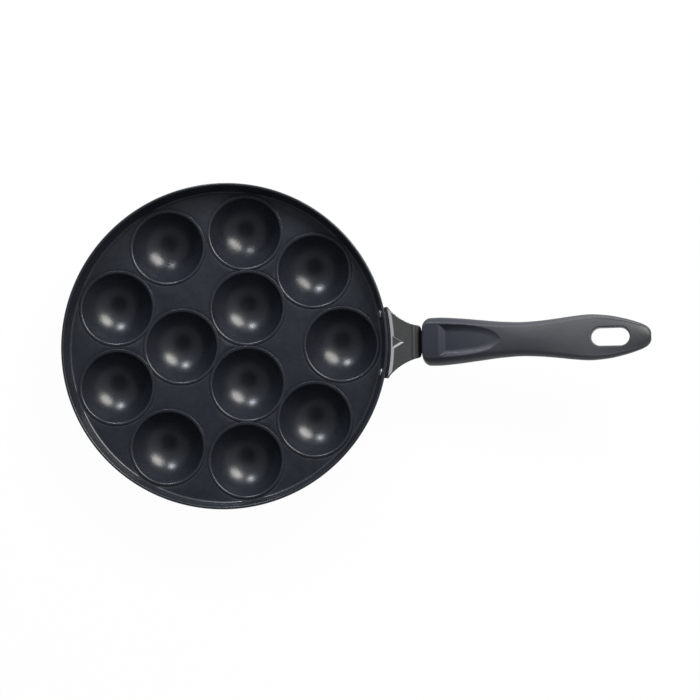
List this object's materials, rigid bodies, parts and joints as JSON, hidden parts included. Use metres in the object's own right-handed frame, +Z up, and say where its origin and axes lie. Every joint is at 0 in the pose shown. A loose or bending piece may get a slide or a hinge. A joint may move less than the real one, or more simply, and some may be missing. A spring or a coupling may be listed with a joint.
{
  "type": "aebleskiver pan",
  "caption": "Round stovetop pan with hemispherical baking cups, a low flared wall and a riveted long handle with a hang slot.",
  "frame": {"origin": "on the hob plane under the centre of the pan, in the plane of the flat pads that the cups stand on", "axes": "+X from the pan's centre along the handle, +Z up out of the cups, +Y to the left when looking along the handle"},
  "size_m": [0.4468, 0.25, 0.056],
  "materials": {
    "nonstick_aluminium": "satin blue-black non-stick coating",
    "bracket_steel": "satin",
    "rivet_aluminium": "satin, dark coated head",
    "grip_phenolic": "fine matte",
    "insert_brass": "machined",
    "screw_steel": "bright zinc plated"
  },
  "bodies": {
    "root": {"pan_body": "nonstick_aluminium", "handle_bracket": "bracket_steel", "rivet_left": "rivet_aluminium", "rivet_right": "rivet_aluminium", "handle_grip": "grip_phenolic", "threaded_insert": "insert_brass", "lock_washer": "screw_steel", "handle_screw": "screw_steel"}
  },
  "joints": []
}
